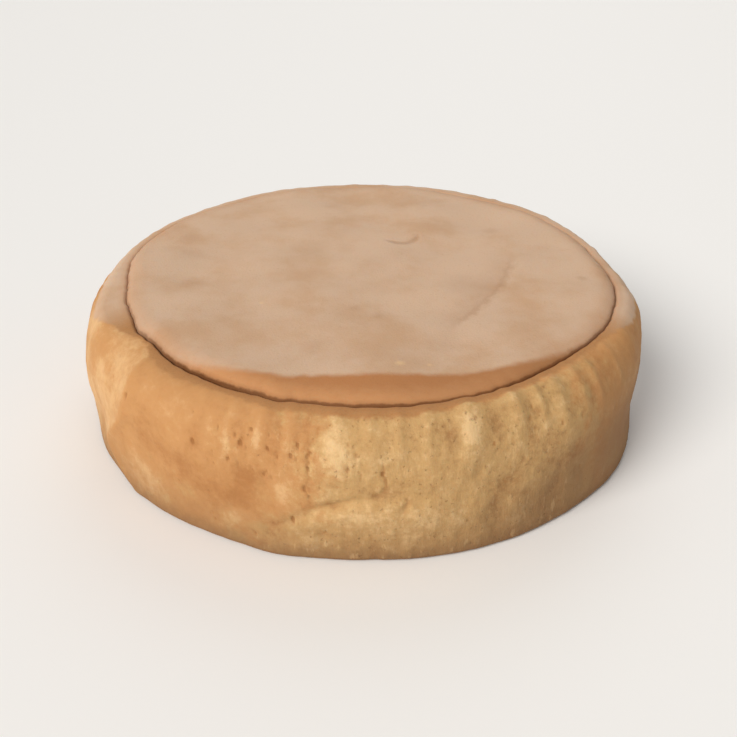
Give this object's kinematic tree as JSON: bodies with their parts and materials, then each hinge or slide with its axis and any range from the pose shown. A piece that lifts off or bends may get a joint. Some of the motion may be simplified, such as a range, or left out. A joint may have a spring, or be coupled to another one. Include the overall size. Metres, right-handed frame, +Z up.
{
  "type": "sponge cake",
  "caption": "Round single-layer sponge cake with a flat crusted top, a folded crease inside its rolled rim and a soft pleated wall.",
  "frame": {"origin": "under the middle of the cake's outline, at its flat bottom", "axes": "+Z up; the side shown in the picture faces -Y"},
  "size_m": [0.2, 0.2056, 0.0513],
  "materials": {
    "sponge": "matte baked sponge: golden brown crust on the top, paler open crumb on the wall"
  },
  "bodies": {
    "root": {"sponge_cake": "sponge"}
  },
  "joints": []
}
